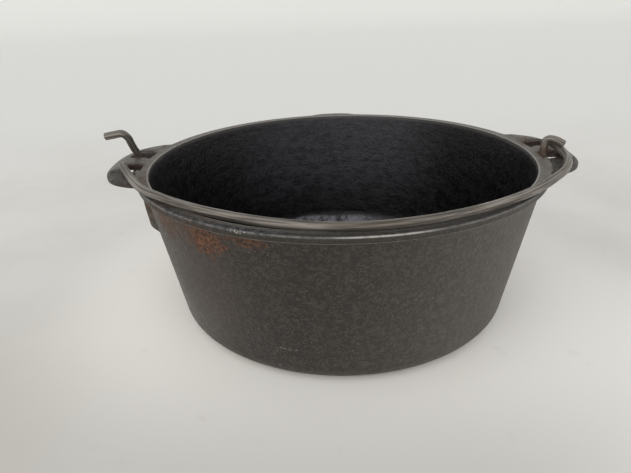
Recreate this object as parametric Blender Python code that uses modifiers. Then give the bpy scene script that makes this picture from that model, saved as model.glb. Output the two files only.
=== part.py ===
"""A cast iron dutch oven: a flared round pot with two pierced ears, and the bent wire bail that hangs in them.

Metres, +Z up. The origin is the centre of the pot's flat base. The ears lie on the X axis, the bail lies
forward on the rim towards -Y, and a small lug stands out from the rim at +Y.
"""

from math import asin, atan2, cos, degrees, pi, radians, sin, tan

import bmesh
import bpy
from mathutils import Matrix, Vector

# Pot body
POT_HEIGHT = 0.0980
RIM_OUTER_RADIUS = 0.1300
RIM_BAND_HEIGHT = 0.0033
RIM_OVERHANG = 0.0027
RIM_EDGE_ROUND = 0.0008
COVE_HEIGHT = 0.0030
WALL_THICKNESS = 0.0045
FLOOR_THICKNESS = 0.0050
WALL_SLOPE = radians(10.3)
OUTER_CORNER_RADIUS = 0.0100
INNER_CORNER_RADIUS = 0.0140
TURN_STEPS = 112

# Ears: a plate a little proud of the rim, pierced each side of a rounded bar, above a fin that runs down the wall
EAR_REACH = 0.0200
EAR_SPREAD = radians(21)
EAR_RISE = 0.0013
EAR_THICKNESS = 0.0049
EAR_STEPS = 36
EAR_ROOT = 0.0016
EAR_EDGE_ROUND = 0.0014
BAR_WIDTH = 0.0125
HOLE_LENGTH = 0.0175
HOLE_WIDTH = 0.0131
HOLE_TAPER = 0.0020
HOLE_INSET = 0.0015
HOLE_ROUND = 0.0034
FIN_THICKNESS = 0.0080
FIN_TOP_REACH = 0.0006
FIN_REACH = 0.0056
FIN_LOW_REACH = 0.0024
FIN_CLEAR_DROP = 0.0160
FIN_SHOULDER_DROP = 0.0200
FIN_STRAIGHT_DROP = 0.0460
FIN_DROP = 0.0600

# Lug on the far side of the rim
LUG_REACH = 0.0088
LUG_SPREAD = radians(11.5)
LUG_THICKNESS = 0.0045

# Bail
WIRE_DIAMETER = 0.0048
GAP = 0.0003
HOOK_CLEARANCE = 0.00065
PIVOT_SHIFT = 0.00125
OVER_BAR = 0.0067
# The wire's plan as (azimuth from +X in degrees, distance inside the rim's outer edge), right ear to left ear
BOW = (
    (-29, -0.0030),
    (-38, 0.0004),
    (-47, 0.0030),
    (-60, 0.0053),
    (-75, 0.0060),
    (-90, 0.0057),
    (-105, 0.0074),
    (-120, 0.0082),
    (-132, 0.0068),
    (-142, 0.0040),
    (-152, 0.0000),
)
WIRE_STEP = 0.0016
BOW_STEP = 0.0105

rim_z = POT_HEIGHT
wire_radius = WIRE_DIAMETER / 2
wall_top_radius = RIM_OUTER_RADIUS - RIM_OVERHANG
ear_top = rim_z + EAR_RISE
bar_z = ear_top - EAR_THICKNESS / 2
pivot_y = PIVOT_SHIFT
pivot_z = bar_z - PIVOT_SHIFT
hole_inner = RIM_OUTER_RADIUS - HOLE_INSET
hole_outer = hole_inner + HOLE_WIDTH
loop_radius = BAR_WIDTH / 2 + wire_radius + HOOK_CLEARANCE
loop_z = bar_z - 2 * PIVOT_SHIFT + HOOK_CLEARANCE - GAP
resting_z = rim_z + wire_radius + GAP


def clear_scene():
    for obj in list(bpy.data.objects):
        bpy.data.objects.remove(obj, do_unlink=True)


def new_collection(name):
    collection = bpy.data.collections.new(name)
    bpy.context.scene.collection.children.link(collection)
    return collection


def new_material(name, colour, roughness, metallic):
    material = bpy.data.materials.new(name)
    material.use_nodes = True
    shader = material.node_tree.nodes["Principled BSDF"]
    shader.inputs["Base Color"].default_value = (*colour, 1)
    shader.inputs["Roughness"].default_value = roughness
    shader.inputs["Metallic"].default_value = metallic
    return material


def new_object(name, data, collection):
    obj = bpy.data.objects.new(name, data)
    collection.objects.link(obj)
    return obj


def arc(centre, radius, start, end, steps):
    """Points along an arc in a plane, angles in radians, both ends included."""
    angles = [start + (end - start) * i / steps for i in range(steps + 1)]
    return [(centre[0] + radius * cos(a), centre[1] + radius * sin(a)) for a in angles]


def wall_radius(z, inset=0.0):
    """Radius of the sloping outer wall at height z, or of a wall face that lies inset inside it."""
    return wall_top_radius - (rim_z - z) * tan(WALL_SLOPE) - inset


def corner_arc(radius, floor_z, inset, steps):
    """The round between a level floor at floor_z and the sloping wall, from floor to wall."""
    centre_z = floor_z + radius
    centre_r = wall_radius(centre_z, inset) - radius / cos(WALL_SLOPE)
    return arc((centre_r, centre_z), radius, -pi / 2, -WALL_SLOPE, steps)


def pot_profile():
    """Half section of the pot: out along the floor, up inside, over the rim, down outside and in along the base."""
    wall_inset = WALL_THICKNESS / cos(WALL_SLOPE)
    lip = RIM_EDGE_ROUND
    lip_radius = wall_radius(rim_z, wall_inset) + lip
    band_bottom = rim_z - RIM_BAND_HEIGHT
    cove_bottom = band_bottom - COVE_HEIGHT
    edge = (RIM_OUTER_RADIUS - lip, rim_z - lip)
    inside = corner_arc(INNER_CORNER_RADIUS, FLOOR_THICKNESS, wall_inset, 6)
    outside = corner_arc(OUTER_CORNER_RADIUS, 0.0, 0.0, 6)
    profile = [(0.0, FLOOR_THICKNESS)] + inside
    profile += arc((lip_radius, rim_z - lip), lip, pi - WALL_SLOPE, pi / 2, 3)
    profile += arc(edge, lip, pi / 2, 0, 3)
    profile += [(RIM_OUTER_RADIUS, band_bottom + lip / 2), (RIM_OUTER_RADIUS - lip / 2, band_bottom)]
    profile += [(wall_radius(cove_bottom) + RIM_OVERHANG / 4, band_bottom - COVE_HEIGHT / 3)]
    profile += [(wall_radius(cove_bottom), cove_bottom)]
    profile += outside[::-1] + [(0.0, 0.0)]
    return profile


def make_pot_body(collection):
    profile = pot_profile()
    mesh = bpy.data.meshes.new("pot")
    mesh.from_pydata([(r, 0, z) for r, z in profile], [(i, i + 1) for i in range(len(profile) - 1)], [])
    pot = new_object("pot", mesh, collection)
    screw = pot.modifiers.new("turned", "SCREW")
    screw.steps = screw.render_steps = TURN_STEPS
    screw.use_merge_vertices = True
    screw.merge_threshold = 0.0001
    return pot


def stack(name, layers, collection):
    """A closed solid through outlines with equal counts of points, each drawn in plan and set at its own height."""
    count = len(layers[0][0])
    verts = [(x, y, z) for outline, z in layers for x, y in outline]
    last = len(verts) - count
    faces = [tuple(range(count)), tuple(range(last, last + count))]
    for base in range(0, last, count):
        for i in range(count):
            after = (i + 1) % count
            faces.append((base + i, base + after, base + count + after, base + count + i))
    body = bmesh.new()
    points = [body.verts.new(vert) for vert in verts]
    for face in faces:
        body.faces.new([points[i] for i in face])
    bmesh.ops.recalc_face_normals(body, faces=body.faces)
    mesh = bpy.data.meshes.new(name)
    body.to_mesh(mesh)
    body.free()
    return new_object(name, mesh, collection)


def slab(name, outline, bottom, top, collection):
    """A flat plate: one outline in plan, raised from bottom to top."""
    return stack(name, [(outline, bottom), (outline, top)], collection)


def wing_outline(reach, spread, middle, root, power, blend, steps):
    """Plan of a wing that grows out of the rim over spread each side of middle, and reaches root inside the rim."""
    outer = []
    for i in range(steps + 1):
        t = 2 * i / steps - 1
        radius = wall_top_radius + (RIM_OVERHANG + reach) * (1 - abs(t) ** power) ** blend
        radius = max(radius, RIM_OUTER_RADIUS - root / 2)
        angle = middle + spread * t
        outer.append((radius * cos(angle), radius * sin(angle)))
    inner = arc((0, 0), RIM_OUTER_RADIUS - root, middle + spread, middle - spread, steps // 2)
    return outer + inner


def rounded_outline(corners, radius, steps=4):
    """A polygon in plan with each corner turned on a radius."""
    points = []
    count = len(corners)
    for i in range(count):
        here = Vector(corners[i])
        before = (Vector(corners[i - 1]) - here).normalized()
        after = (Vector(corners[(i + 1) % count]) - here).normalized()
        half = before.angle(after) / 2
        centre = here + (before + after).normalized() * radius / sin(half)
        start = here + before * radius / tan(half) - centre
        end = here + after * radius / tan(half) - centre
        turn = start.angle_signed(end)
        first = atan2(start.y, start.x)
        points += arc(centre, radius, first, first - turn, steps)
    return points


def mirrored(obj, across):
    mirror = obj.modifiers.new("pair", "MIRROR")
    mirror.use_axis = [axis in across for axis in "XYZ"]
    mirror.use_mirror_merge = False
    return obj


def combine(body, name, operation, other):
    boolean = body.modifiers.new(name, "BOOLEAN")
    boolean.operation = operation
    boolean.object = other


def make_tool(obj):
    """Hides an object that only shapes another."""
    obj.hide_render = True
    obj.display_type = "WIRE"
    return obj


def make_ear_plates(collection):
    middle_z = ear_top - EAR_THICKNESS / 2
    layers = []
    for inset, height in arc((0, EAR_THICKNESS / 2 - EAR_EDGE_ROUND), EAR_EDGE_ROUND, 0, pi / 2, 2):
        reach = EAR_REACH - EAR_EDGE_ROUND + inset
        outline = wing_outline(reach, EAR_SPREAD, 0.0, EAR_ROOT, 3.6, 1.6, EAR_STEPS)
        layers.insert(0, (outline, middle_z - height))
        layers.append((outline, middle_z + height))
    return mirrored(stack("ear_plates", layers, collection), "X")


def make_ear_holes(collection):
    """One long opening through each ear, which the bar then crosses."""
    far = BAR_WIDTH / 2 + HOLE_LENGTH
    inner_far = hole_inner * cos(asin(far / hole_inner))
    corners = [
        (inner_far, -far),
        (hole_inner, 0.0),
        (inner_far, far),
        (hole_outer - HOLE_TAPER, far),
        (hole_outer, far / 2),
        (hole_outer, -far / 2),
        (hole_outer - HOLE_TAPER, -far),
    ]
    reach = 2 * EAR_THICKNESS
    outline = rounded_outline(corners, HOLE_ROUND)
    return mirrored(slab("ear_holes", outline, rim_z - reach, rim_z + reach, collection), "X")


def make_bars(collection):
    """The bar across each ear's opening: a section with round edges, drawn flat and turned to run outward."""
    edge = EAR_THICKNESS / 2 - 0.00005
    across = BAR_WIDTH / 2 - edge
    section = arc((0, across), edge, 0, pi, 8) + arc((0, -across), edge, pi, 2 * pi, 8)
    start = hole_inner + EAR_ROOT / 4
    bars = slab("ear_bars", section, start, hole_outer + HOLE_INSET, collection)
    bars.data.transform(Matrix.Translation((0, 0, bar_z)) @ Matrix.Rotation(pi / 2, 4, "Y"))
    return mirrored(bars, "X")


def make_fins(collection):
    """The fins under the ears, drawn in section, turned upright and raised to their thickness."""
    root_inset = WALL_THICKNESS / 2
    top = RIM_BAND_HEIGHT / 2
    section = [
        (wall_radius(rim_z - top, root_inset), top),
        (wall_radius(rim_z - FIN_DROP, root_inset), FIN_DROP),
        (wall_radius(rim_z - FIN_DROP), FIN_DROP),
        (RIM_OUTER_RADIUS + FIN_LOW_REACH, FIN_STRAIGHT_DROP),
        (RIM_OUTER_RADIUS + FIN_REACH, FIN_SHOULDER_DROP),
        (RIM_OUTER_RADIUS + FIN_TOP_REACH, FIN_CLEAR_DROP),
        (RIM_OUTER_RADIUS + FIN_TOP_REACH, top),
    ]
    fins = slab("ear_fins", section, -FIN_THICKNESS / 2, FIN_THICKNESS / 2, collection)
    fins.data.transform(Matrix.Translation((0, 0, rim_z)) @ Matrix.Rotation(-pi / 2, 4, "X"))
    bevel = fins.modifiers.new("cast edges", "BEVEL")
    bevel.width = FIN_THICKNESS / 5
    bevel.segments = 2
    return mirrored(fins, "X")


def make_lug(collection):
    root = RIM_OVERHANG + WALL_THICKNESS / 2
    outline = wing_outline(LUG_REACH, LUG_SPREAD, pi / 2, root, 3.0, 1.2, EAR_STEPS // 2)
    return slab("rim_lug", outline, rim_z - LUG_THICKNESS, rim_z - 0.00002, collection)


def make_pot(parts, tools):
    pot = make_pot_body(parts)
    combine(pot, "ears", "UNION", make_tool(make_ear_plates(tools)))
    combine(pot, "fins", "UNION", make_tool(make_fins(tools)))
    combine(pot, "lug", "UNION", make_tool(make_lug(tools)))
    combine(pot, "holes", "DIFFERENCE", make_tool(make_ear_holes(tools)))
    combine(pot, "bars", "UNION", make_tool(make_bars(tools)))
    pot.data.materials.append(new_material("seasoned cast iron", (0.045, 0.042, 0.040), 0.55, 0.6))
    return pot


def around_loop(x, angle):
    """A point of a loop, from its x and its angle: 0 is behind the bar, -90 below it and -180 before it."""
    return Vector((x, loop_radius * cos(radians(angle)), loop_z + loop_radius * sin(radians(angle))))


def right_hook():
    """From the end back to the arm: a leg before the bar, one turn under and behind it, and out over the bar."""
    leg_x = hole_inner + wire_radius + GAP
    over_x = hole_outer - wire_radius - 3 * GAP
    leg_y = -loop_radius
    over_z = bar_z + OVER_BAR
    points = [
        Vector((leg_x + 0.0080, leg_y - 0.0086, rim_z + 0.0082)),
        Vector((leg_x + 0.0042, leg_y - 0.0034, rim_z + 0.0098)),
        Vector((leg_x + 0.0012, leg_y - 0.0004, rim_z + 0.0094)),
        Vector((leg_x, leg_y, rim_z + 0.0062)),
    ]
    for angle in range(-180, 1, 20):
        points.append(around_loop(leg_x + (over_x - leg_x) * (angle + 180) / 180, angle))
    points += [
        Vector((over_x, loop_radius * 0.86, bar_z + OVER_BAR * 0.60)),
        Vector((over_x - 0.0003, loop_radius * 0.45, over_z - 0.0002)),
        Vector((over_x - 0.0008, 0.0, over_z)),
        Vector((over_x - 0.0004, -0.0060, over_z - 0.0003)),
        Vector((over_x + 0.0004, -0.0130, over_z - 0.0010)),
        Vector((over_x + 0.0002, -0.0205, resting_z + EAR_RISE)),
        Vector((over_x - 0.0052, -0.0405, resting_z + EAR_RISE)),
        Vector((over_x - 0.0134, -0.0550, resting_z + EAR_RISE / 2)),
    ]
    return points


def left_hook():
    """From the arm to the end: down before the bar, under it, up behind it, leaning forward to the bent end."""
    x = -hole_outer + wire_radius + GAP
    foot = Vector((x + 0.0020, loop_radius + 0.0005, ear_top + 0.0004))
    bend = Vector((x + 0.0027, -0.0080, rim_z + 0.0206))
    return [
        Vector((x + 0.0160, -0.0485, resting_z + EAR_RISE / 2)),
        Vector((x + 0.0085, -0.0346, resting_z + EAR_RISE)),
        Vector((x + 0.0038, -0.0258, resting_z + EAR_RISE)),
        Vector((x + 0.0028, -0.0228, resting_z + EAR_RISE + 0.0002)),
        Vector((x + 0.0010, -0.0166, rim_z + 0.0010)),
        Vector((x + 0.0003, -0.0125, rim_z - 0.0038)),
        *[around_loop(x, angle) for angle in range(-150, -9, 20)],
        foot,
        foot.lerp(bend, 0.35),
        foot.lerp(bend, 0.65),
        foot.lerp(bend, 0.88),
        bend + Vector((-0.0020, -0.0002, 0.0006)),
        bend + Vector((-0.0080, 0.0002, 0.0000)),
        bend + Vector((-0.0137, 0.0006, -0.0011)),
    ]


def smooth_route(points, step_at):
    """A smooth curve through points, read at steps whose length step_at gives for each stretch."""
    ends = [points[0] * 2 - points[1]] + points + [points[-1] * 2 - points[-2]]
    route = []
    for a, b, c, d in zip(ends, ends[1:], ends[2:], ends[3:]):
        span = (c - b).length
        leave = (c - b) + ((b - a) * span / (b - a).length - (c - a) * span / ((b - a).length + span))
        arrive = (c - b) + ((d - c) * span / (d - c).length - (d - b) * span / ((d - c).length + span))
        steps = max(1, round(span / step_at(b)))
        for i in range(steps):
            t = i / steps
            s = 1 - t
            place = b * (s * s * (1 + 2 * t)) + c * (t * t * (3 - 2 * t))
            route.append(place + leave * (t * s * s) - arrive * (t * t * s))
    return route + [points[-1]]


def bail_route():
    bow = []
    for azimuth, inside in BOW:
        angle = radians(azimuth)
        radius = RIM_OUTER_RADIUS - inside
        bow.append(Vector((radius * cos(angle), radius * sin(angle), resting_z)))

    def step_at(point):
        return WIRE_STEP if abs(degrees(atan2(point.y, abs(point.x)))) < 16 else BOW_STEP

    return smooth_route(right_hook() + bow + left_hook(), step_at)


def make_bail(parts):
    curve = bpy.data.curves.new("bail", "CURVE")
    curve.dimensions = "3D"
    curve.bevel_depth = wire_radius
    curve.bevel_resolution = 2
    curve.use_fill_caps = True
    route = bail_route()
    spline = curve.splines.new("POLY")
    spline.points.add(len(route) - 1)
    pivot = Vector((0, pivot_y, pivot_z))
    for point, place in zip(spline.points, route):
        point.co = (*(place - pivot), 1)
    bail = new_object("bail", curve, parts)
    bail.location = pivot
    curve.materials.append(new_material("worn steel wire", (0.16, 0.14, 0.12), 0.45, 0.8))
    return bail


clear_scene()
parts = new_collection("dutch oven")
tools = new_collection("shaping tools")
make_pot(parts, tools)
make_bail(parts)
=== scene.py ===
"""A cast iron dutch oven, seasoned and worn, with its wire bail lying forward on the rim.

Metres, +Z up.
"""

from math import atan2, cos, degrees, pi, radians, sin, sqrt, tan

import bmesh
import bpy
import numpy as np
from mathutils import Matrix, Vector


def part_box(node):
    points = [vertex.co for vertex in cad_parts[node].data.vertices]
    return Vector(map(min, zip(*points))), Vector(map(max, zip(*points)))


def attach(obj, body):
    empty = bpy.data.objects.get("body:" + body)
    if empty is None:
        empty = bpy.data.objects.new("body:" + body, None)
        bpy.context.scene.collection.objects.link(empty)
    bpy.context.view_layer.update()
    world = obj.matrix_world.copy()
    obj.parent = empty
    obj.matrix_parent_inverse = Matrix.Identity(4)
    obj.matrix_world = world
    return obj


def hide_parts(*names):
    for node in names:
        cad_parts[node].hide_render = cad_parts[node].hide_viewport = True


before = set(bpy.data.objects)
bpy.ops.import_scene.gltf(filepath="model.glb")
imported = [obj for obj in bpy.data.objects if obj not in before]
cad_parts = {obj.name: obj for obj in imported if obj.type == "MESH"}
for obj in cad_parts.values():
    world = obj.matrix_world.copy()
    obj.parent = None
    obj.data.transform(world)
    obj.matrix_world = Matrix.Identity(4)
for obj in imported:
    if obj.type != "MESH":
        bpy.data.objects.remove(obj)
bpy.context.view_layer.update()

# ---------------------------------------------------------------- pot
# One sand casting in grey iron: a flared round body with a rim band, two flat pierced ears with a
# fin under each, and a small lug at the back. Seasoned almost black inside, and brown-grey outside
# with bright worn edges and a few blooms of rust. Painted light in its colours: a greyer far inside
# wall, paler outer sides, a glint on the rim, and shade in the webs, the ear holes and under the
# wire.

_, pot_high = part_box("pot")
EAR_RISE = 0.0013
EAR_REACH = 0.0200
EAR_THICKNESS = 0.0049
EAR_SPREAD = radians(21)
EAR_DROOP = 0.0024
RIM_OVERHANG = 0.0027
BAND_HEIGHT = 0.0037
LIP_ROUND = 0.0008
COVE_PROUD = 0.0014
WALL_THICKNESS = 0.0045
FLOOR_THICKNESS = 0.0050
WALL_SLOPE = radians(10.3)
OUTER_CORNER = 0.0120
INNER_CORNER = 0.0140
LUG_REACH = 0.0088
LUG_SPREAD = radians(11.5)
BAR_WIDTH = 0.0125
HOLE_WIDTH = 0.0131
HOLE_TAPER = 0.0020
HOLE_INSET = 0.0015
HOLE_OPEN = 0.0136
LEFT_EXTRA = 0.0014
HOLE_CORNER = 0.0024
HOLE_EDGE = 0.0007
BAR_EDGE = 0.0012
TOOL_OVERRUN = 1.9
WEB_DEPTH = 0.0015
FIN_HALF = 0.0078
FIN_CORE = 0.0012
FIN_END_DROP = 0.0600
RIGHT_FIN_SHARE = 0.55
# The fins' section: how far below the rim, and how far past the rim's edge
FIN_SECTION = (
    (0.0, 0.0006),
    (0.0160, 0.0006),
    (0.0205, 0.0052),
    (0.0330, 0.0042),
    (0.0455, 0.0024),
    (0.0475, 0.0010),
)
# The hollow under the band: how far below the rim, and how far past the wall
COVE_SECTION = (
    (0.0041, 0.0010),
    (0.0046, 0.0006),
    (0.0053, 0.0003),
    (0.0064, 0.0001),
    (0.0076, 0.0),
)
# The wings' outlines: a power that squares the shoulders and one that blends them into the rim
FRONT_SHOULDER = (4.4, 1.4)
REAR_SHOULDER = (3.6, 1.6)
LUG_SHOULDER = (3.0, 1.2)
EDGE_BLEND = 0.0012
DROOP_RUN = 0.0062
WEB_START = (radians(7.9), radians(8.3))
REAR_WEB_END = (radians(11.0), radians(10.2))
# The mesh: degrees between columns at the fins, ears, lug and elsewhere, and the rows' places
FIN_STEP, EAR_STEP, LUG_STEP, PLAIN_STEP = 0.32, 0.75, 0.9, 1.5
FLOOR_RINGS = (0.012, 0.028, 0.045, 0.062, 0.078)
INSIDE_DROPS = (0.070, 0.060, 0.050, 0.040, 0.030, 0.020, 0.012, 0.006, 0.0025)
OUTSIDE_DROPS = (
    0.0105, 0.013, 0.0155, 0.017, 0.0185, 0.0198, 0.0212, 0.023, 0.027, 0.032, 0.037,
    0.041, 0.0445, 0.046, 0.0475, 0.050, 0.054, 0.058, 0.0605, 0.066, 0.071, 0.076,
)

IRON_DARK, IRON_WARM = (0.0110, 0.0082, 0.0060), (0.0175, 0.0136, 0.0106)
# painted sheen for the outside's two sides: the right and left colours here, and the pale grit below
IRON_SHEEN_RIGHT, IRON_SHEEN_LEFT = (0.0620, 0.0555, 0.0505), (0.0470, 0.0390, 0.0310)
GRIT, GRIT_SHEEN = (0.0540, 0.0450, 0.0370), (0.1200, 0.1070, 0.0950)
MAUVE, SPECK = (0.0480, 0.0340, 0.0320), (0.1500, 0.1320, 0.1120)
RUST_DARK, RUST_BRIGHT = (0.0300, 0.0140, 0.0080), (0.2100, 0.0830, 0.0350)
# the bright colour on the next line serves rubbed edges and a painted glint on the rim
OLIVE, BRIGHT_WEAR_AND_GLINT = (0.0200, 0.0160, 0.0090), (0.5200, 0.5000, 0.4700)
HANDLED_DARK, HANDLED_LIGHT = (0.0680, 0.0615, 0.0540), (0.1250, 0.1150, 0.1020)
HANDLED_GRIT = (0.2000, 0.1860, 0.1680)
# painted shade, with grit, for the rim top's outer strip under the wire at the front
WIRE_SHADE_DARK, WIRE_SHADE_GRIT = (0.0240, 0.0220, 0.0210), (0.0700, 0.0660, 0.0620)
PIT_DARK, PIT_LIGHT = (0.0030, 0.0040, 0.0055), (0.0800, 0.0840, 0.0920)
# painted shade for the sunk webs, dark to light with the cast grit
WEB_SHADE_DARK, WEB_SHADE_LIGHT = (0.0100, 0.0080, 0.0070), (0.0560, 0.0480, 0.0420)
# rust-red with painted shade, for the walls of the ear holes
HOLE_RUST_AND_SHADE = (0.0230, 0.0095, 0.0070)
BAKED_DARK, BAKED_LIGHT = (0.0006, 0.0006, 0.0009), (0.0052, 0.0049, 0.0062)
# painted light for the far inside wall
FAR_LIT_DARK, FAR_LIT_LIGHT = (0.0140, 0.0138, 0.0175), (0.0360, 0.0356, 0.0430)
FLOOR_GLINT, INNER_LIP = (0.2000, 0.1980, 0.2300), (0.0600, 0.0550, 0.0500)
# Blooms of rust: centre, stretch, radius, raggedness and strength. One on the left of the front
# with a streak beside it, brown ones under the left ear, and red ones at the hooks.
RUST_BLOOMS = (
    ((-0.0740, -0.1010, 0.0870), (0.8, 0.8, 1.1), 0.0165, 0.55, 0.85),
    ((-0.0500, -0.1160, 0.0905), (0.5, 0.8, 1.9), 0.0095, 0.60, 0.70),
    ((-0.1180, -0.0420, 0.0880), (1, 0.8, 0.7), 0.0240, 0.40, 0.55),
    ((-0.0980, -0.0800, 0.0890), (1, 0.8, 1.0), 0.0190, 0.50, 0.50),
    ((-0.1340, -0.0120, 0.0960), (1, 0.9, 1.3), 0.0090, 0.35, 0.55),
    ((-0.1300, -0.0050, 0.0800), (1, 1, 0.6), 0.0170, 0.45, 0.45),
    ((0.1330, -0.0090, 0.0950), (1, 0.8, 1.2), 0.0120, 0.35, 0.80),
    ((0.1320, 0.0180, 0.0955), (1, 0.7, 1.2), 0.0120, 0.40, 0.70),
    ((-0.1330, 0.0180, 0.0950), (1, 0.7, 1.2), 0.0100, 0.45, 0.40),
)

rim_z = pot_high[2] - EAR_RISE
rim_radius = pot_high[0] - EAR_REACH
wall_top = rim_radius - RIM_OVERHANG
ear_top = pot_high[2]
ear_middle_z = ear_top - EAR_THICKNESS / 2
hole_inner = rim_radius - HOLE_INSET
hole_outer = hole_inner + HOLE_WIDTH
wall_inset = WALL_THICKNESS / cos(WALL_SLOPE)


def smooth(value, low, high):
    """0 at low, 1 at high, with a soft start and end."""
    t = np.clip((value - low) / (high - low), 0.0, 1.0)
    return t * t * (3 - 2 * t)


def wall_radius(z, inset=0.0):
    return wall_top - (rim_z - z) * tan(WALL_SLOPE) - inset


def shoulder(at, power, blend):
    """A wing's reach, from 1 at its middle to 0 where it meets the rim."""
    return (1 - at**power) ** blend


def column_angles():
    """Angles round the pot, closest together at the fins, then at the ears and the lug."""
    angles = [0.0]
    while angles[-1] < 2 * pi:
        here = angles[-1]
        off_ear = degrees(abs(atan2(sin(here), abs(cos(here)))))
        off_lug = degrees(abs(here - pi / 2))
        step = LUG_STEP if off_lug < 13 else PLAIN_STEP
        if off_ear < 23:
            step = FIN_STEP if off_ear < 2.4 else EAR_STEP
        angles.append(here + radians(step))
    angles = np.array(angles[:-1])
    return angles * (2 * pi / (angles[-1] + radians(FIN_STEP)))


def pot_rows():
    """The section at every column angle, as rows of radius and height, inside floor to base."""
    angle = column_angles()
    off = np.arctan2(np.sin(angle), np.abs(np.cos(angle)))
    at_ear = np.clip(np.abs(off) / EAR_SPREAD, 0, 1)
    at_lug = np.clip(np.abs(angle - pi / 2) / LUG_SPREAD, 0, 1)
    wing = np.where(off < 0, shoulder(at_ear, *FRONT_SHOULDER), shoulder(at_ear, *REAR_SHOULDER))
    lug = shoulder(at_lug, *LUG_SHOULDER)
    out = np.maximum((RIM_OVERHANG + EAR_REACH) * wing, (RIM_OVERHANG + LUG_REACH) * lug)
    out = out - RIM_OVERHANG
    soft = (out + np.sqrt(out**2 + EDGE_BLEND**2)) / 2
    edge_r = rim_radius + soft - (sqrt(RIM_OVERHANG**2 + EDGE_BLEND**2) - RIM_OVERHANG) / 2
    ear = smooth(edge_r - rim_radius, 0.0, 0.0040) * (wing > 0)
    wide = smooth(edge_r - rim_radius, 0.0, 0.0050)
    rows = []

    def row(radius, height):
        rows.append((radius + 0 * angle, height + 0 * angle))

    def corner(size, bottom, inset, turns):
        """The round between a level face at bottom and the sloping wall."""
        centre_z = bottom + size
        centre_r = wall_radius(centre_z, inset) - size / cos(WALL_SLOPE)
        for turn in turns:
            row(centre_r + size * cos(turn), centre_z + size * sin(turn))

    def top_at(radius):
        """The top face: the ears stand proud and droop at their edges, and their webs are sunk."""
        rise = EAR_RISE * ear * smooth(radius, rim_radius - 0.0014, rim_radius + 0.0010)
        fall = np.clip((radius - edge_r + DROOP_RUN) / DROOP_RUN, 0, 1) ** 2
        droop = EAR_DROOP * (0.45 + 0.55 * ear) * wide * fall
        from_rim = smooth(radius, rim_radius + 0.0006, rim_radius + 0.0016)
        across = from_rim * smooth(edge_r - radius, 0.0024, 0.0036)
        along = smooth(np.abs(off), *WEB_START) * ear
        along *= np.where(off > 0, smooth(off, *REAR_WEB_END), 1.0)
        cast = 0.00018 * np.sin(radius * 2600 + 9 * off) * np.sin(off * 150 + 2)
        return rim_z + rise - droop - (WEB_DEPTH + cast) * across * along

    quarter = pi / 2 - WALL_SLOPE
    for radius in FLOOR_RINGS:
        row(radius, FLOOR_THICKNESS)
    up_to_wall = [-pi / 2 + quarter * i / 10 for i in range(11)]
    corner(INNER_CORNER, FLOOR_THICKNESS, wall_inset, up_to_wall)
    for drop in INSIDE_DROPS:
        row(wall_radius(rim_z - drop, wall_inset), rim_z - drop)

    # over the lip, out along the top and round the edge
    lip_r = wall_radius(rim_z, wall_inset) + LIP_ROUND
    for i in range(5):
        turn = pi - WALL_SLOPE - quarter * i / 4
        row(lip_r + LIP_ROUND * cos(turn), rim_z - LIP_ROUND + LIP_ROUND * sin(turn))
    round_off = LIP_ROUND + 0.0002 * wide
    last = edge_r - round_off
    for i in range(1, 23):
        radius = lip_r + (last - lip_r) * i / 22
        row(radius, top_at(radius))
    edge_top = top_at(last)
    for i in range(1, 5):
        turn = pi / 2 - pi / 2 * i / 4
        row(last + round_off * cos(turn), edge_top - round_off + round_off * sin(turn))

    # under the band, in to the cove and down the wall with its fins
    under = rim_z - BAND_HEIGHT - 0.0003 * wide
    low_round = 0.0005 + 0.0003 * wide
    row(edge_r, (edge_top - round_off + under + low_round) / 2)
    for i in range(4):
        turn = -pi / 2 * i / 3
        row(edge_r - low_round + low_round * cos(turn), under + low_round + low_round * sin(turn))
    cove_r = wall_radius(rim_z - BAND_HEIGHT) + COVE_PROUD
    for i in range(1, 7):
        row(edge_r - low_round + (cove_r - edge_r + low_round) * i / 6, under)
    fin_drops = [drop for drop, _ in FIN_SECTION] + [FIN_END_DROP]
    fin_radii = [rim_radius + reach for _, reach in FIN_SECTION]
    fin_radii.append(wall_radius(rim_z - FIN_END_DROP))
    fin_share = np.where(np.cos(angle) > 0, RIGHT_FIN_SHARE, 1.0)
    for drop, proud in COVE_SECTION + tuple((drop, 0.0) for drop in OUTSIDE_DROPS):
        radius = wall_radius(rim_z - drop) + proud
        beside = np.abs(radius * np.sin(off))
        stands = max(0.0, np.interp(drop, fin_drops, fin_radii, right=0.0) - radius)
        row(radius + stands * (1 - smooth(beside, FIN_CORE, FIN_HALF)) * fin_share, rim_z - drop)
    down_to_base = [-WALL_SLOPE - quarter * i / 10 for i in range(11)]
    corner(OUTER_CORNER, 0.0, 0.0, down_to_base)
    for radius in FLOOR_RINGS[::-1]:
        row(radius, 0.0)
    return angle, rows


def closed_mesh(name, verts, faces):
    """A mesh whose faces all look outward."""
    mesh = bpy.data.meshes.new(name)
    mesh.from_pydata(verts, [], faces)
    body = bmesh.new()
    body.from_mesh(mesh)
    bmesh.ops.recalc_face_normals(body, faces=body.faces)
    body.to_mesh(mesh)
    body.free()
    return mesh


def make_pot_mesh():
    """The rows closed by a point at the middle of the floor and one at the middle of the base."""
    angle, rows = pot_rows()
    count = len(angle)
    verts = [(0.0, 0.0, FLOOR_THICKNESS)]
    for radius, height in rows:
        verts += zip(radius * np.cos(angle), radius * np.sin(angle), height)
    verts.append((0.0, 0.0, 0.0))
    faces = []
    end = len(verts) - 1
    last = 1 + (len(rows) - 1) * count
    for i in range(count):
        after = (i + 1) % count
        faces.append((0, 1 + i, 1 + after))
        faces.append((end, last + after, last + i))
        for base in range(1, last, count):
            faces.append((base + i, base + count + i, base + count + after, base + after))
    return closed_mesh("pot casting", [tuple(map(float, vert)) for vert in verts], faces)


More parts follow.
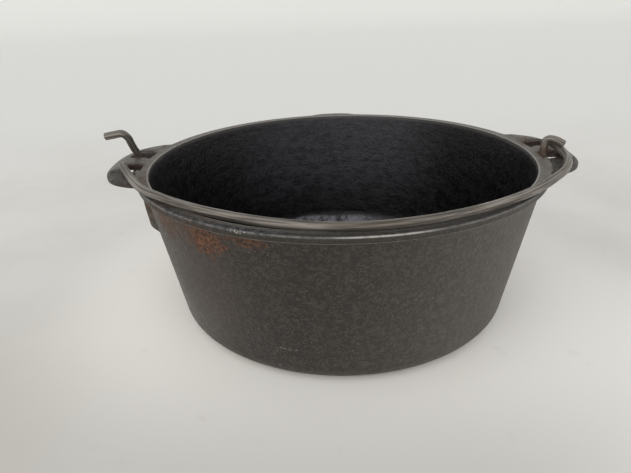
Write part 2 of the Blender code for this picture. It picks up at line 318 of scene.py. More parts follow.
def rounded_outline(corners, radius, steps=5):
    """A polygon in plan with each corner turned on a radius."""
    points = []
    for i, corner in enumerate(corners):
        here = Vector(corner)
        before = (Vector(corners[i - 1]) - here).normalized()
        after = (Vector(corners[(i + 1) % len(corners)]) - here).normalized()
        half = before.angle(after) / 2
        centre = here + (before + after).normalized() * radius / sin(half)
        start = here + before * radius / tan(half) - centre
        turn = start.angle_signed(here + after * radius / tan(half) - centre)
        first = atan2(start.y, start.x)
        for k in range(steps + 1):
            here = first - turn * k / steps
            points.append(centre + radius * Vector((cos(here), sin(here))))
    return points


def hole_tool(side_x, side_y):
    """A cutter for one ear hole. It widens to both faces, most of all beside the bar."""
    reach = EAR_THICKNESS / 2 + 0.00003
    far_side = BAR_WIDTH / 2 + HOLE_OPEN + (LEFT_EXTRA if side_x < 0 else 0)
    upper = (0.35, 0.6, 0.8, 0.92, 1.0)
    layers = []
    for h in (-TOOL_OVERRUN, *[-h for h in upper[::-1]], 0, *upper, TOOL_OVERRUN):
        flat = min(abs(h), 1.0)
        by_bar = BAR_EDGE * (1 - sqrt(1 - flat**2))
        by_edge = HOLE_EDGE * (1 - sqrt(1 - max(0.0, (flat - 0.5) / 0.5) ** 2))
        near = BAR_WIDTH / 2 - by_bar
        far = far_side + by_edge * 0.3
        inner_far = sqrt(hole_inner**2 - far**2) - by_edge * 0.4
        corners = [
            (hole_inner - by_edge * 0.4, near),
            (hole_outer + by_edge, near),
            (hole_outer + by_edge, near + HOLE_OPEN * 0.42),
            (hole_outer - HOLE_TAPER * 0.8 + by_edge, far),
            (inner_far, far),
        ]
        layers.append((rounded_outline(corners, HOLE_CORNER), ear_middle_z + h * reach))
    count = len(layers[0][0])
    verts = [(side_x * p.x, side_y * p.y, z) for outline, z in layers for p in outline]
    top = len(verts) - count
    faces = [tuple(range(count))[::-1], tuple(range(top, top + count))]
    for base in range(0, top, count):
        for i in range(count):
            after = (i + 1) % count
            faces.append((base + i, base + after, base + count + after, base + count + i))
    tool = bpy.data.objects.new("hole cutter", closed_mesh("hole cutter", verts, faces))
    bpy.context.scene.collection.objects.link(tool)
    return tool


def finished_mesh(obj, name):
    """Makes the object's modifiers real."""
    graph = bpy.context.evaluated_depsgraph_get()
    mesh = bpy.data.meshes.new_from_object(obj.evaluated_get(graph))
    mesh.name = name
    obj.modifiers.clear()
    obj.data = mesh


pot = bpy.data.objects.new("pot_casting", make_pot_mesh())
bpy.context.scene.collection.objects.link(pot)
tools = [hole_tool(x, y) for x in (1, -1) for y in (1, -1)]
for tool in tools:
    cut = pot.modifiers.new("hole", "BOOLEAN")
    cut.operation = "DIFFERENCE"
    cut.solver = "EXACT"
    cut.object = tool
finished_mesh(pot, "pot_casting")
for tool in tools:
    bpy.data.objects.remove(tool, do_unlink=True)
pot.data.polygons.foreach_set("use_smooth", [True] * len(pot.data.polygons))
pot.data.set_sharp_from_angle(angle=radians(46))


def fill(tree, node, inputs):
    """Sets a node's inputs, each to a value or to a linked socket."""
    for key, value in inputs.items():
        if isinstance(value, bpy.types.NodeSocket):
            tree.links.new(value, node.inputs[key])
        else:
            node.inputs[key].default_value = value
    return node


def add(tree, kind, inputs=None, **settings):
    """A node with its settings and inputs."""
    made = tree.nodes.new(kind)
    for name, value in settings.items():
        setattr(made, name, value)
    return fill(tree, made, inputs or {})


def placed(tree, group, inputs):
    """A use of a shader group, as its outputs."""
    made = tree.nodes.new("ShaderNodeGroup")
    made.node_tree = group
    return fill(tree, made, inputs).outputs


def maths(tree, operation, *values):
    return add(tree, "ShaderNodeMath", dict(enumerate(values)), operation=operation).outputs[0]


def both(tree, *values):
    """The product of several masks."""
    product = values[0]
    for value in values[1:]:
        product = maths(tree, "MULTIPLY", product, value)
    return product


def ramp(tree, value, low, high, start=0.0, end=1.0):
    """value from low to high, eased and clamped to start to end."""
    inputs = {"Value": value, "From Min": low, "From Max": high, "To Min": start, "To Max": end}
    return add(tree, "ShaderNodeMapRange", inputs, interpolation_type="SMOOTHSTEP").outputs[0]


def paint(tree, factor, under, over):
    """over on under by factor. A colour is a socket or an RGB triple."""
    inputs = {0: factor}
    for key, colour in ((6, under), (7, over)):
        inputs[key] = (*colour, 1) if isinstance(colour, tuple) else colour
    return add(tree, "ShaderNodeMix", inputs, data_type="RGBA").outputs[2]


def vector(tree, operation, *values):
    return add(tree, "ShaderNodeVectorMath", dict(enumerate(values)), operation=operation).outputs


def noise(tree, where, scale, detail=3.0, rough=0.55, stretch=None):
    if stretch:
        where = add(tree, "ShaderNodeMapping", {"Vector": where, "Scale": stretch}).outputs[0]
    inputs = {"Vector": where, "Scale": scale, "Detail": detail, "Roughness": rough}
    return add(tree, "ShaderNodeTexNoise", inputs).outputs["Fac"]


def new_group(name, takes, gives):
    """An empty shader group with named sockets, and its ends."""
    tree = bpy.data.node_groups.new(name, "ShaderNodeTree")
    for socket, kind, value in takes:
        made = tree.interface.new_socket(socket, in_out="INPUT", socket_type=f"NodeSocket{kind}")
        if value is not None:
            made.default_value = value
    for socket, kind in gives:
        tree.interface.new_socket(socket, in_out="OUTPUT", socket_type=f"NodeSocket{kind}")
    return tree, tree.nodes.new("NodeGroupInput").outputs, tree.nodes.new("NodeGroupOutput").inputs


def cast_grain_group():
    """Fine sand-cast grain: its bumps, the lit specks on the highest of them, and a mottle."""
    tree, takes, gives = new_group(
        "cast grain",
        [
            ("Place", "Vector", None),
            ("Grains per metre", "Float", 900.0),
            ("Speck share", "Float", 0.3),
        ],
        [("Height", "Float"), ("Specks", "Float"), ("Mottle", "Float")],
    )
    place, per_metre = takes["Place"], takes["Grains per metre"]
    grain = noise(tree, place, per_metre, 2.0, 0.6)
    coarse = noise(tree, place, both(tree, per_metre, 0.36), 2.0, 0.5)
    height = maths(tree, "ADD", both(tree, grain, 0.6), both(tree, coarse, 0.4))
    low = maths(tree, "SUBTRACT", 0.80, maths(tree, "MULTIPLY", takes["Speck share"], 0.5))
    specks = ramp(tree, grain, low, maths(tree, "ADD", low, 0.12))
    patch = ramp(tree, noise(tree, place, 34.0, 3.0), 0.42, 0.62)
    specks = both(tree, specks, maths(tree, "MULTIPLY_ADD", patch, 0.6, 0.4))
    tree.links.new(height, gives["Height"])
    tree.links.new(specks, gives["Specks"])
    tree.links.new(noise(tree, place, 15.0, 4.0), gives["Mottle"])
    return tree


def bloom_group():
    """A ragged round patch about a centre, dense in the middle and broken at its edge."""
    tree, takes, gives = new_group(
        "bloom",
        [
            ("Place", "Vector", None),
            ("Centre", "Vector", None),
            ("Stretch", "Vector", (1, 1, 1)),
            ("Radius", "Float", 0.01),
            ("Ragged", "Float", 0.6),
        ],
        [("Mask", "Float")],
    )
    apart = vector(tree, "SUBTRACT", takes["Place"], takes["Centre"])[0]
    scaled = vector(tree, "MULTIPLY", apart, takes["Stretch"])[0]
    length = vector(tree, "LENGTH", scaled)["Value"]
    inside = maths(tree, "SUBTRACT", 1.0, maths(tree, "DIVIDE", length, takes["Radius"]))
    rough = maths(tree, "SUBTRACT", noise(tree, takes["Place"], 230.0, 5.0, 0.7), 0.5)
    ragged = maths(tree, "MULTIPLY_ADD", rough, both(tree, takes["Ragged"], 4.0), inside)
    tree.links.new(ramp(tree, ragged, 0.0, 0.75), gives["Mask"])
    return tree


def edge_line_group():
    """A broken line along an edge, gone at its width: used for edges rubbed bright by handling and
    for a painted glint.
    """
    tree, takes, gives = new_group(
        "edge line",
        [
            ("Place", "Vector", None),
            ("Distance", "Float", 0.0),
            ("Width", "Float", 0.0006),
            ("Broken", "Float", 0.5),
        ],
        [("Mask", "Float")],
    )
    near = maths(tree, "DIVIDE", maths(tree, "ABSOLUTE", takes["Distance"]), takes["Width"])
    line = ramp(tree, near, 1.0, 0.2)
    chips = ramp(tree, noise(tree, takes["Place"], 260.0, 3.0, 0.65), 0.36, 0.62)
    kept = maths(tree, "ADD", chips, maths(tree, "SUBTRACT", 1.0, takes["Broken"]))
    tree.links.new(maths(tree, "MULTIPLY", line, maths(tree, "MINIMUM", kept, 1.0)), gives["Mask"])
    return tree


cast_grain = cast_grain_group()
bloom = bloom_group()
edge_line = edge_line_group()


def pot_places(tree):
    """Object coordinates, their parts, the height over the rim and the depth behind the wall."""
    place = add(tree, "ShaderNodeTexCoord").outputs["Object"]
    axes = add(tree, "ShaderNodeSeparateXYZ", {0: place}).outputs
    flat = add(tree, "ShaderNodeCombineXYZ", {0: axes[0], 1: axes[1]}).outputs[0]
    radius = vector(tree, "LENGTH", flat)["Value"]
    height = maths(tree, "SUBTRACT", axes[2], rim_z)
    wall = maths(tree, "MULTIPLY_ADD", height, tan(WALL_SLOPE), wall_top)
    depth = maths(tree, "SUBTRACT", wall, radius)
    return place, axes[0], axes[1], axes[2], height, depth


def new_material(name):
    material = bpy.data.materials.new(name)
    material.use_nodes = True
    return material, material.node_tree, material.node_tree.nodes["Principled BSDF"]


def rust_mask(tree, place, blooms):
    """The strongest of several blooms at each place."""
    mask = 0.0
    for centre, stretch, radius, ragged, share in blooms:
        inputs = {"Place": place, "Centre": centre, "Stretch": stretch}
        inputs |= {"Radius": radius, "Ragged": ragged}
        spot = placed(tree, bloom, inputs)["Mask"]
        mask = maths(tree, "MAXIMUM", mask, both(tree, spot, share))
    return mask


def outer_iron():
    """The outside: brown-grey sand-cast iron, with bright rubbed edges and rust, and painted light:
    a sheen on its sides, a glint on the rim, and shade in the webs, the ear holes and under the
    wire.
    """
    material, tree, shader = new_material("seasoned cast iron, outside")
    place, x, y, z, height, depth = pot_places(tree)
    beside = maths(tree, "ABSOLUTE", y)
    front = ramp(tree, y, -0.050, -0.085)
    inputs = {"Place": place, "Grains per metre": 900.0, "Speck share": 0.34}
    grain = placed(tree, cast_grain, inputs)
    grit = ramp(tree, grain["Height"], 0.44, 0.60)

    # the bare casting, with a painted sheen that makes its two sides paler
    side = ramp(tree, x, -0.03, 0.125)
    left = ramp(tree, x, -0.055, -0.120)
    side_sheen = maths(tree, "MAXIMUM", side, left)
    ground = paint(tree, ramp(tree, grain["Mottle"], 0.35, 0.65), IRON_DARK, IRON_WARM)
    ground = paint(tree, both(tree, side, 0.98), ground, IRON_SHEEN_RIGHT)
    ground = paint(tree, both(tree, left, 0.65), ground, IRON_SHEEN_LEFT)
    ground = paint(tree, both(tree, grit, 0.68), ground, GRIT)
    ground = paint(tree, both(tree, grit, side_sheen, 0.60), ground, GRIT_SHEEN)
    mauve = rust_mask(tree, place, [((-0.078, -0.091, 0.052), (1, 1, 0.75), 0.036, 0.25, 0.45)])
    ground = paint(tree, mauve, ground, MAUVE)
    ground = paint(tree, both(tree, grain["Specks"], 0.80), ground, SPECK)

    rust = rust_mask(tree, place, RUST_BLOOMS)
    flakes = noise(tree, place, 620.0, 3.0, 0.7)
    rust_colour = paint(tree, ramp(tree, flakes, 0.38, 0.66), RUST_DARK, RUST_BRIGHT)
    colour = paint(tree, rust, ground, rust_colour)

    # the band is olive-brown, and the rim's top is handled, with painted shade from the wire over
    # its outer strip at the front, and pitted at the front left
    band = both(
        tree,
        ramp(tree, height, -0.0044, -0.0038),
        ramp(tree, height, -0.0006, -0.0012),
        ramp(tree, depth, 0.0, -0.0012),
    )
    colour = paint(tree, both(tree, band, 0.60), colour, OLIVE)
    rim_top_colour = paint(tree, grain["Mottle"], HANDLED_DARK, HANDLED_LIGHT)
    rim_top_colour = paint(tree, both(tree, grit, 0.45), rim_top_colour, HANDLED_GRIT)
    # painted shade: the rim top's outer strip at the front, under the wire, darkened with some grit
    shaded = paint(tree, both(tree, grit, 0.60), WIRE_SHADE_DARK, WIRE_SHADE_GRIT)
    outer_top = both(tree, front, ramp(tree, depth, 0.0018, 0.0006))
    rim_top_colour = paint(tree, both(tree, outer_top, 0.90), rim_top_colour, shaded)
    pitted = paint(tree, ramp(tree, grain["Height"], 0.45, 0.58), PIT_DARK, PIT_LIGHT)
    rough_top = both(tree, outer_top, ramp(tree, x, -0.018, -0.045))
    rim_top_colour = paint(tree, both(tree, rough_top, 0.90), rim_top_colour, pitted)
    on_top = ramp(tree, height, -0.0016, -0.0004)
    clear = maths(tree, "SUBTRACT", 1.0, rust)
    colour = paint(tree, both(tree, on_top, clear, 0.90), colour, rim_top_colour)

    # the sunk webs get painted shade over their rough cast grit, and the walls of the ear holes
    # rust-red with painted shade
    web_shade = both(
        tree,
        ramp(tree, beside, 0.0180, 0.0195),
        ramp(tree, depth, -0.0030, -0.0042),
        ramp(tree, height, 0.0008, 0.0002),
        ramp(tree, height, -0.0030, -0.0020),
    )
    colour = paint(tree, both(tree, web_shade, 0.85), colour, paint(tree, grit, WEB_SHADE_DARK, WEB_SHADE_LIGHT))
    hole = both(
        tree,
        ramp(tree, height, 0.0010, 0.0002),
        ramp(tree, height, -0.0058, -0.0048),
        ramp(tree, beside, 0.0052, 0.0058),
        ramp(tree, beside, 0.0212, 0.0205),
        ramp(tree, depth, -0.0006, -0.0011),
        ramp(tree, depth, -0.0153, -0.0148),
    )
    # rust with painted shade on the walls of the ear holes
    colour = paint(tree, both(tree, hole, 0.85), colour, HOLE_RUST_AND_SHADE)

    # rubbed bright: the rim's outer edge, the band's lower edge, the lip and the turn of the base,
    # with a scratched stretch, a row of small dashes and a scuff low on the left of the front;
    # and a painted highlight along the rim's outer edge at the front
    def between(low, rises, falls, high):
        """A mask along x, full from rises to falls and gone at low and high."""
        return both(tree, ramp(tree, x, low, rises), ramp(tree, x, high, falls), front)

    nicks = ramp(tree, noise(tree, place, 900.0, 1.0), 0.50, 0.58)
    scratches = ramp(tree, noise(tree, place, 760.0, 2.0), 0.56, 0.62)
    # painted glint: a highlight painted along the rim's outer edge at the front
    glint = both(tree, between(-0.020, 0.006, 0.026, 0.048), 0.75)
    scratched = both(tree, between(-0.064, -0.056, -0.043, -0.036), scratches)
    dashes = both(tree, between(-0.0385, -0.0370, -0.0290, -0.0275), nicks, 0.7)
    scuff = both(tree, between(-0.0500, -0.0460, -0.0400, -0.0370), nicks, 0.3)
    at_rim = both(tree, ramp(tree, depth, -0.0015, -0.0021), ramp(tree, depth, -0.0040, -0.0032))
    at_lip = ramp(tree, height, -0.0012, -0.0004)
    at_base = ramp(tree, depth, 0.0190, 0.0140)
    top_edge = maths(tree, "ADD", height, 0.0003)
    low_edge = maths(tree, "ADD", height, BAND_HEIGHT - 0.0001)
    lip_edge = maths(tree, "SUBTRACT", depth, wall_inset - 0.0005)
    # the bright lines: rubbed wear, and with it the painted glint
    worn = 0.0
    for distance, width, broken, where in (
        (top_edge, 0.00060, 0.75, both(tree, at_rim, 0.16)),
        (top_edge, 0.00050, 0.30, both(tree, glint, at_rim)),
        (top_edge, 0.00160, 1.0, both(tree, scratched, at_rim)),
        (low_edge, 0.0006, 0.6, both(tree, at_rim, 0.22)),
        (lip_edge, 0.0010, 0.35, both(tree, at_lip, 0.50)),
        (maths(tree, "SUBTRACT", z, 0.0231), 0.0004, 1.0, dashes),
        (maths(tree, "SUBTRACT", z, 0.0095), 0.0009, 0.8, scuff),
        (maths(tree, "SUBTRACT", z, 0.0016), 0.0012, 0.6, both(tree, at_base, 0.6)),
    ):
        inputs = {"Place": place, "Distance": distance, "Width": width, "Broken": broken}
        line = placed(tree, edge_line, inputs)["Mask"]
        worn = maths(tree, "MAXIMUM", worn, both(tree, line, where))
    colour = paint(tree, worn, colour, BRIGHT_WEAR_AND_GLINT)

    gloss = ramp(tree, grain["Mottle"], 0.35, 0.65, 0.46, 0.56)
    gloss = maths(tree, "MULTIPLY_ADD", rust, 0.32, gloss)
    tree.links.new(maths(tree, "MULTIPLY_ADD", worn, -0.12, gloss), shader.inputs["Roughness"])
    tree.links.new(both(tree, worn, 0.5), shader.inputs["Metallic"])
    tree.links.new(colour, shader.inputs["Base Color"])
    relief = maths(tree, "MULTIPLY_ADD", both(tree, rust, flakes), 0.8, grain["Height"])
    bumps = add(tree, "ShaderNodeBump", {"Height": relief, "Strength": 0.6, "Distance": 0.0009})
    tree.links.new(bumps.outputs[0], shader.inputs["Normal"])
    return material


def inner_iron():
    """The inside: baked near black, with faint turned rings, and painted light making the far wall
    greyer.
    """
    material, tree, shader = new_material("seasoned cast iron, inside")
    place, x, y, z, height, _ = pot_places(tree)
    rings = noise(tree, place, 60.0, 4.0, 0.65, (1, 1, 3.2))
    mottle = noise(tree, place, 170.0, 5.0, 0.7)
    fine = noise(tree, place, 420.0, 3.0, 0.6)
    patchy = maths(tree, "ADD", both(tree, rings, 0.35), both(tree, mottle, 0.65))
    colour = paint(tree, ramp(tree, patchy, 0.40, 0.62), BAKED_DARK, BAKED_LIGHT)
    # painted light: the far wall, which faces the light, is painted greyer
    far = both(
        tree,
        ramp(tree, y, 0.040, 0.118),
        ramp(tree, z, 0.010, 0.060),
        ramp(tree, maths(tree, "ABSOLUTE", x), 0.105, 0.050),
    )
    lit = paint(tree, ramp(tree, patchy, 0.38, 0.62), FAR_LIT_DARK, FAR_LIT_LIGHT)
    colour = paint(tree, both(tree, far, 0.85), colour, lit)

    # a painted highlight: a wavy bright band where the far wall turns into the floor
    wave = maths(tree, "MULTIPLY_ADD", noise(tree, place, 45.0, 2.0), 0.006, z)
    glint = both(
        tree,
        ramp(tree, y, 0.070, 0.090),
        ramp(tree, wave, 0.0165, 0.0135),
        ramp(tree, wave, 0.0088, 0.0105),
        ramp(tree, x, -0.052, -0.030),
        ramp(tree, x, 0.060, 0.000),
        ramp(tree, patchy, 0.36, 0.60),
    )
    colour = paint(tree, glint, colour, FLOOR_GLINT)
    lip = ramp(tree, height, -0.0030, -0.0010)
    colour = paint(tree, both(tree, lip, 0.6), colour, INNER_LIP)
    tree.links.new(colour, shader.inputs["Base Color"])
    tree.links.new(ramp(tree, patchy, 0.38, 0.66, 0.33, 0.46), shader.inputs["Roughness"])
    shader.inputs["Specular IOR Level"].default_value = 0.30
    relief = maths(tree, "MULTIPLY_ADD", patchy, 1.4, both(tree, fine, 0.5))
    bumps = add(tree, "ShaderNodeBump", {"Height": relief, "Strength": 0.55, "Distance": 0.0012})
    tree.links.new(bumps.outputs[0], shader.inputs["Normal"])
    return material


pot.data.materials.clear()
pot.data.materials.append(outer_iron())
pot.data.materials.append(inner_iron())
for face in pot.data.polygons:
    middle = face.center
    behind = wall_radius(middle.z) - sqrt(middle.x**2 + middle.y**2)
    between_faces = FLOOR_THICKNESS / 2 < middle.z < rim_z - 0.0001
    face.material_index = 1 if between_faces and behind > WALL_THICKNESS / 2 else 0
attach(pot, "pot")
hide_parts("pot")

# ---------------------------------------------------------------- bail
# One length of steel wire bent by hand: a loop closed round each ear's bar, the ends turned back,
# and a bow that lies on the front of the rim. Brown-grey, with rubbed streaks and rust at the loops.

WIRE_RADIUS = 0.0024
GAP = 0.0003
OVER_BAR = 0.0067
PIVOT_SHIFT = 0.00125
HOOK_CLEARANCE = 0.00065
HOOK_STEP = 0.0010
BOW_STEP = 0.0028
WIRE_SIDES = 22
TIP_PULL = 0.00036
# Each cut end's rings, as a share of the wire's radius and how far they stand out
TIP_RINGS = ((0.93, 0.00022), (0.84, 0.00034), (0.45, 0.00030))
WIRE_BROWN, WIRE_RUBBED = (0.0720, 0.0640, 0.0550), (0.2750, 0.2520, 0.2230)
WIRE_STAIN, WIRE_SPECK = (0.0700, 0.0530, 0.0400), (0.1900, 0.1700, 0.1420)
WIRE_RUST_DARK, WIRE_RUST_BRIGHT = (0.0300, 0.0130, 0.0090), (0.1150, 0.0520, 0.0320)
WIRE_BLOOMS = (
    ((0.1325, -0.0085, 0.0975), (1, 1, 1), 0.0120, 0.5, 0.90),
    ((0.1370, 0.0080, 0.0980), (1, 1, 1), 0.0100, 0.5, 0.75),
    ((-0.1375, 0.0070, 0.0960), (1, 1, 1), 0.0120, 0.5, 0.70),
    ((-0.1380, -0.0080, 0.0960), (1, 1, 1), 0.0090, 0.5, 0.60),
    ((0.0600, -0.1110, 0.1010), (1, 1, 1), 0.0070, 0.5, 0.25),
)
# The bow's plan, as the azimuth from +X in degrees and the distance inside the rim's edge
BOW = (
    (-29, -0.0030),
    (-38, 0.0004),
    (-47, 0.0030),
    (-60, 0.0053),
    (-75, 0.0060),
    (-90, 0.0057),
    (-105, 0.0074),
    (-120, 0.0082),
    (-132, 0.0068),
    (-142, 0.0040),
    (-152, 0.0000),
)

bar_z = ear_middle_z
loop_radius = BAR_WIDTH / 2 + WIRE_RADIUS + HOOK_CLEARANCE
loop_z = bar_z - 2 * PIVOT_SHIFT + HOOK_CLEARANCE - GAP
resting_z = rim_z + WIRE_RADIUS + GAP


def around_loop(x, angle):
    """A point of a loop from its x and angle: 0 behind the bar, -90 below it, -180 before it."""
    turn = radians(angle)
    return Vector((x, loop_radius * cos(turn), loop_z + loop_radius * sin(turn)))


def right_hook():
    """From the end back to the arm: before the bar, one turn under and behind it, out over it."""
    leg_x = hole_inner + WIRE_RADIUS + GAP
    over_x = hole_outer - WIRE_RADIUS - 3 * GAP
    leg_y = -loop_radius
    over_z = bar_z + OVER_BAR
    points = [
        Vector((leg_x + 0.0080, leg_y - 0.0086, rim_z + 0.0082)),
        Vector((leg_x + 0.0042, leg_y - 0.0034, rim_z + 0.0098)),
        Vector((leg_x + 0.0012, leg_y - 0.0004, rim_z + 0.0094)),
        Vector((leg_x, leg_y, rim_z + 0.0062)),
    ]
    for angle in range(-180, 1, 20):
        points.append(around_loop(leg_x + (over_x - leg_x) * (angle + 180) / 180, angle))
    return points + [
        Vector((over_x, loop_radius * 0.86, bar_z + OVER_BAR * 0.60)),
        Vector((over_x - 0.0003, loop_radius * 0.45, over_z - 0.0002)),
        Vector((over_x - 0.0008, 0.0, over_z)),
        Vector((over_x - 0.0004, -0.0060, over_z - 0.0003)),
        Vector((over_x + 0.0004, -0.0130, over_z - 0.0010)),
        Vector((over_x + 0.0002, -0.0205, resting_z + EAR_RISE)),
        Vector((over_x - 0.0052, -0.0405, resting_z + EAR_RISE)),
        Vector((over_x - 0.0134, -0.0550, resting_z + EAR_RISE / 2)),
    ]


def left_hook():
    """From the arm to the end: down before the bar, under it, and up behind it to the bent end."""
    x = -hole_outer + WIRE_RADIUS + GAP
    foot = Vector((x + 0.0020, loop_radius + 0.0005, ear_top + 0.0004))
    bend = Vector((x + 0.0027, -0.0080, rim_z + 0.0204))
    return [
        Vector((x + 0.0160, -0.0485, resting_z + EAR_RISE / 2)),
        Vector((x + 0.0085, -0.0346, resting_z + EAR_RISE)),
        Vector((x + 0.0038, -0.0258, resting_z + EAR_RISE)),
        Vector((x + 0.0028, -0.0228, resting_z + EAR_RISE + 0.0002)),
        Vector((x + 0.0010, -0.0166, rim_z + 0.0010)),
        Vector((x + 0.0003, -0.0125, rim_z - 0.0038)),
        *[around_loop(x, angle) for angle in range(-150, -9, 20)],
        foot,
        foot.lerp(bend, 0.35),
        foot.lerp(bend, 0.65),
        foot.lerp(bend, 0.88),
        bend + Vector((-0.0020, -0.0002, 0.0006)),
        bend + Vector((-0.0080, 0.0002, 0.0000)),
        bend + Vector((-0.0137, 0.0006, -0.0011)),
    ]


def bail_route():
    """The wire's middle line, smooth through its points, in fine steps at the ears."""
    points = right_hook()
    for azimuth, inside in BOW:
        radius, turn = rim_radius - inside, radians(azimuth)
        points.append(Vector((radius * cos(turn), radius * sin(turn), resting_z)))
    points += left_hook()
    ends = [points[0] * 2 - points[1]] + points + [points[-1] * 2 - points[-2]]
    route = []
    for a, b, c, d in zip(ends, ends[1:], ends[2:], ends[3:]):
        span = (c - b).length
        before, after = (b - a).length, (d - c).length
        leave = (c - b) + ((b - a) * span / before - (c - a) * span / (before + span))
        arrive = (c - b) + ((d - c) * span / after - (d - b) * span / (after + span))
        steps = max(2, round(span / (HOOK_STEP if abs(b.x) > 0.12 else BOW_STEP)))
        for i in range(steps):
            t = i / steps
            s = 1 - t
            place = b * (s * s * (1 + 2 * t)) + c * (t * t * (3 - 2 * t))
            route.append(place + leave * (t * s * s) - arrive * (t * t * s))
    return route + [points[-1]]


def make_wire_mesh():
    """A tube along the route with cut ends, and a UV map: metres along it, and once round it."""
    sides = WIRE_SIDES
    route = bail_route()
    along = (route[1] - route[0]).normalized()
    across = along.cross(Vector((0, 0, 1))).normalized()
    verts, run = [], [0.0]
    last = len(route) - 1
    for i, place in enumerate(route):
        ahead = (route[min(i + 1, last)] - route[max(i - 1, 0)]).normalized()
        across = (across - ahead * across.dot(ahead)).normalized()
        beside = ahead.cross(across)
        if i:
            run.append(run[-1] + (place - route[i - 1]).length)
        for k in range(sides):
            turn = 2 * pi * k / sides
            verts.append(place + (across * cos(turn) + beside * sin(turn)) * WIRE_RADIUS)
    rings = [list(range(i * sides, (i + 1) * sides)) for i in range(len(route))]

    tips = []
    for ring, place, inner in ((rings[0], route[0], route[1]), (rings[-1], route[-1], route[-2])):
        push = (place - inner).normalized()
        place = place - push * TIP_PULL
        for index in ring:
            verts[index] = verts[index] - push * TIP_PULL
        caps = []
        for scale, out in TIP_RINGS:
            caps.append(list(range(len(verts), len(verts) + sides)))
            for index in ring:
                verts.append(place + (verts[index] - place) * scale + push * out)
        tips.append((caps, len(verts)))
        verts.append(place + push * TIP_PULL)
    (first_caps, first_tip), (last_caps, last_tip) = tips
    order = first_caps[::-1] + rings + last_caps
    faces = []
    for before, after in zip(order, order[1:]):
        for k in range(sides):
            faces.append((before[k], before[(k + 1) % sides], after[(k + 1) % sides], after[k]))
    for ring, tip in ((order[0], first_tip), (order[-1], last_tip)):
        for k in range(sides):
            faces.append((ring[k], ring[(k + 1) % sides], tip))
    mesh = closed_mesh("bail_wire", [tuple(vert) for vert in verts], faces)

    layer = mesh.uv_layers.new(name="along")
    tube_end = len(rings) * sides
    for face in mesh.polygons:
        turns = [index % sides for index in face.vertices]
        wraps = 0 in turns and sides - 1 in turns
        for loop, index, k in zip(face.loop_indices, face.vertices, turns):
            if index < tube_end:
                distance = run[index // sides]
            else:
                distance = 0 if index <= first_tip else run[-1]
            layer.data[loop].uv = (distance, (sides if wraps and k == 0 else k) / sides)
    return mesh


def worn_wire():
    """Steel drawn along the wire, stained and rubbed, with rust at the loops."""
    material, tree, shader = new_material("worn steel wire")
    place = add(tree, "ShaderNodeTexCoord").outputs["Object"]
    run = add(tree, "ShaderNodeUVMap", uv_map="along").outputs[0]
    drawn = add(tree, "ShaderNodeMapping", {"Vector": run, "Scale": (28.0, 14.0, 1.0)}).outputs[0]
    streaks = noise(tree, drawn, 1.0, 3.0, 0.6)
    inputs = {"Place": place, "Grains per metre": 1300.0, "Speck share": 0.30}
    grain = placed(tree, cast_grain, inputs)
    colour = paint(tree, ramp(tree, streaks, 0.36, 0.66), WIRE_BROWN, WIRE_RUBBED)
    stain = ramp(tree, grain["Mottle"], 0.5, 0.7)
    colour = paint(tree, both(tree, stain, 0.5), colour, WIRE_STAIN)
    colour = paint(tree, both(tree, grain["Specks"], 0.55), colour, WIRE_SPECK)
    rust = rust_mask(tree, place, WIRE_BLOOMS)
    flakes = noise(tree, place, 700.0, 3.0, 0.7)
    rust_colour = paint(tree, ramp(tree, flakes, 0.35, 0.68), WIRE_RUST_DARK, WIRE_RUST_BRIGHT)
    colour = paint(tree, rust, colour, rust_colour)
    tree.links.new(colour, shader.inputs["Base Color"])
    tree.links.new(maths(tree, "MULTIPLY_ADD", rust, -0.50, 0.55), shader.inputs["Metallic"])
    gloss = ramp(tree, streaks, 0.36, 0.66, 0.46, 0.34)
    tree.links.new(maths(tree, "MULTIPLY_ADD", rust, 0.35, gloss), shader.inputs["Roughness"])
    height = maths(tree, "MULTIPLY_ADD", streaks, 0.5, grain["Height"])
    bumps = add(tree, "ShaderNodeBump", {"Height": height, "Strength": 0.35, "Distance": 0.0004})
    tree.links.new(bumps.outputs[0], shader.inputs["Normal"])
    return material


wire = bpy.data.objects.new("bail_wire", make_wire_mesh())
bpy.context.scene.collection.objects.link(wire)
wire.data.polygons.foreach_set("use_smooth", [True] * len(wire.data.polygons))
wire.data.set_sharp_from_angle(angle=radians(50))
wire.data.materials.append(worn_wire())
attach(wire, "bail")
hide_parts("bail")

# ---------------------------------------------------------------- floor, light and camera
# A pale bench top that runs up behind as a backdrop, one broad soft light from the upper left and a
# dim even surround. None of it is part of the object.

BENCH_HALF = 16.0
BACK_Y = 2.6
SWEEP = 1.5
BACKDROP_TOP = 4.0
BENCH_DROP = 0.00005
YAW, PITCH, ROLL = -0.0112, 0.42867, -0.0338
CAMERA_PLACE = (-0.01399, -0.34822, 0.1987)


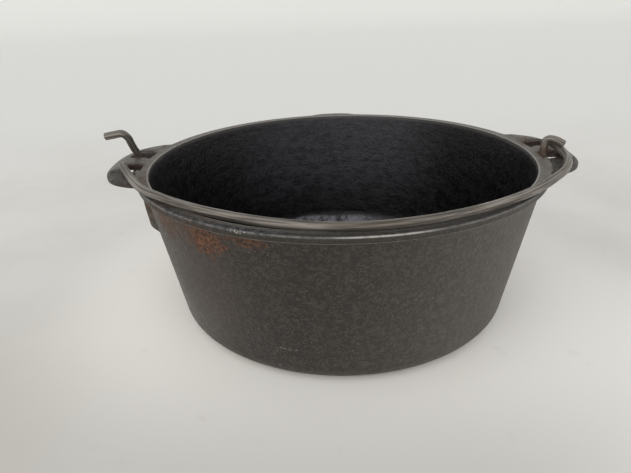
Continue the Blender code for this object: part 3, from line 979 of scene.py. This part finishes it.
def make_bench():
    """The bench top and backdrop in one sheet, cloudy, with painted light making it paler close
    round the pot.
    """
    section = [(-BENCH_HALF, 0.0)]
    for i in range(17):
        turn = pi / 2 * i / 16
        section.append((BACK_Y + SWEEP * sin(turn), SWEEP * (1 - cos(turn))))
    section.append((BACK_Y + SWEEP, BACKDROP_TOP))
    verts = [(side * BENCH_HALF, y, z - BENCH_DROP) for y, z in section for side in (-1, 1)]
    faces = [(2 * i, 2 * i + 1, 2 * i + 3, 2 * i + 2) for i in range(len(section) - 1)]
    mesh = bpy.data.meshes.new("bench")
    mesh.from_pydata(verts, [], faces)
    mesh.polygons.foreach_set("use_smooth", [True] * len(faces))
    bench = bpy.data.objects.new("bench", mesh)
    bpy.context.scene.collection.objects.link(bench)
    material, tree, shader = new_material("pale bench")
    place = add(tree, "ShaderNodeTexCoord").outputs["Object"]
    clouds = ramp(tree, noise(tree, place, 5.0, 4.0), 0.35, 0.65)
    colour = paint(tree, clouds, (0.665, 0.655, 0.628), (0.725, 0.718, 0.698))
    axes = add(tree, "ShaderNodeSeparateXYZ", {0: place}).outputs
    colour = paint(tree, ramp(tree, axes[1], 0.15, 0.60), colour, (0.731, 0.737, 0.722))
    length = vector(tree, "LENGTH", place)["Value"]
    # painted light: the bench paler close round the pot, where its shadow falls
    colour = paint(tree, ramp(tree, length, 0.24, 0.13), colour, (0.980, 0.962, 0.920))
    nearby = ramp(tree, length, 1.0, 0.5)
    near = both(tree, nearby, ramp(tree, axes[1], -0.05, -0.22))
    colour = paint(tree, both(tree, near, 0.8), colour, (0.560, 0.552, 0.530))
    warm = both(tree, nearby, ramp(tree, axes[0], -0.10, -0.24), ramp(tree, axes[1], 0.02, -0.22))
    colour = paint(tree, both(tree, warm, 0.8), colour, (0.560, 0.535, 0.470))
    pale = both(tree, nearby, ramp(tree, axes[0], 0.04, 0.20), ramp(tree, axes[1], 0.05, -0.10))
    colour = paint(tree, both(tree, pale, 0.8), colour, (0.900, 0.895, 0.872))
    marks = ramp(tree, noise(tree, place, 42.0, 5.0, 0.7), 0.60, 0.74)
    colour = paint(tree, both(tree, marks, 0.14), colour, (0.480, 0.450, 0.400))
    tree.links.new(colour, shader.inputs["Base Color"])
    shader.inputs["Roughness"].default_value = 0.75
    shader.inputs["Specular IOR Level"].default_value = 0.2
    mesh.materials.append(material)
    return bench


make_bench()


def soft_sun(name, towards, spread, strength, colour):
    """Even light from one side of the room, as wide as spread."""
    data = bpy.data.lights.new(name, "SUN")
    data.angle = spread
    data.energy = strength
    data.color = colour
    light = bpy.data.objects.new(name, data)
    bpy.context.scene.collection.objects.link(light)
    light.rotation_euler = Vector(towards).to_track_quat("-Z", "Y").to_euler()


soft_sun("window", (0.45, 0.85, -0.95), radians(75), 1.15, (1.0, 0.99, 0.97))
soft_sun("room", (-0.9, 0.35, -0.6), radians(90), 0.22, (0.99, 0.99, 1.0))

world = bpy.data.worlds.new("surround")
world.use_nodes = True
sky = world.node_tree
ray = add(sky, "ShaderNodeTexCoord").outputs["Generated"]
rise = add(sky, "ShaderNodeSeparateXYZ", {0: ray}).outputs[2]
glow = paint(sky, ramp(sky, rise, 0.05, 0.75), (1.00, 0.985, 0.955), (0.46, 0.455, 0.45))
sky.links.new(glow, sky.nodes["Background"].inputs["Color"])
sky.nodes["Background"].inputs["Strength"].default_value = 1.12
bpy.context.scene.world = world
bpy.context.scene.view_settings.view_transform = "Standard"

camera_data = bpy.data.cameras.new("camera")
camera_data.lens = 30.81
camera_data.sensor_width = 36.0
camera_data.clip_start = 0.01
camera = bpy.data.objects.new("camera", camera_data)
bpy.context.scene.collection.objects.link(camera)
forward = Vector((sin(YAW) * cos(PITCH), cos(YAW) * cos(PITCH), -sin(PITCH)))
level_right = Vector((cos(YAW), -sin(YAW), 0.0))
level_up = level_right.cross(forward)
right = level_right * cos(ROLL) + level_up * sin(ROLL)
up = level_up * cos(ROLL) - level_right * sin(ROLL)
turned = Matrix((right, up, -forward)).transposed().to_4x4()
camera.matrix_world = Matrix.Translation(CAMERA_PLACE) @ turned
bpy.context.scene.camera = camera
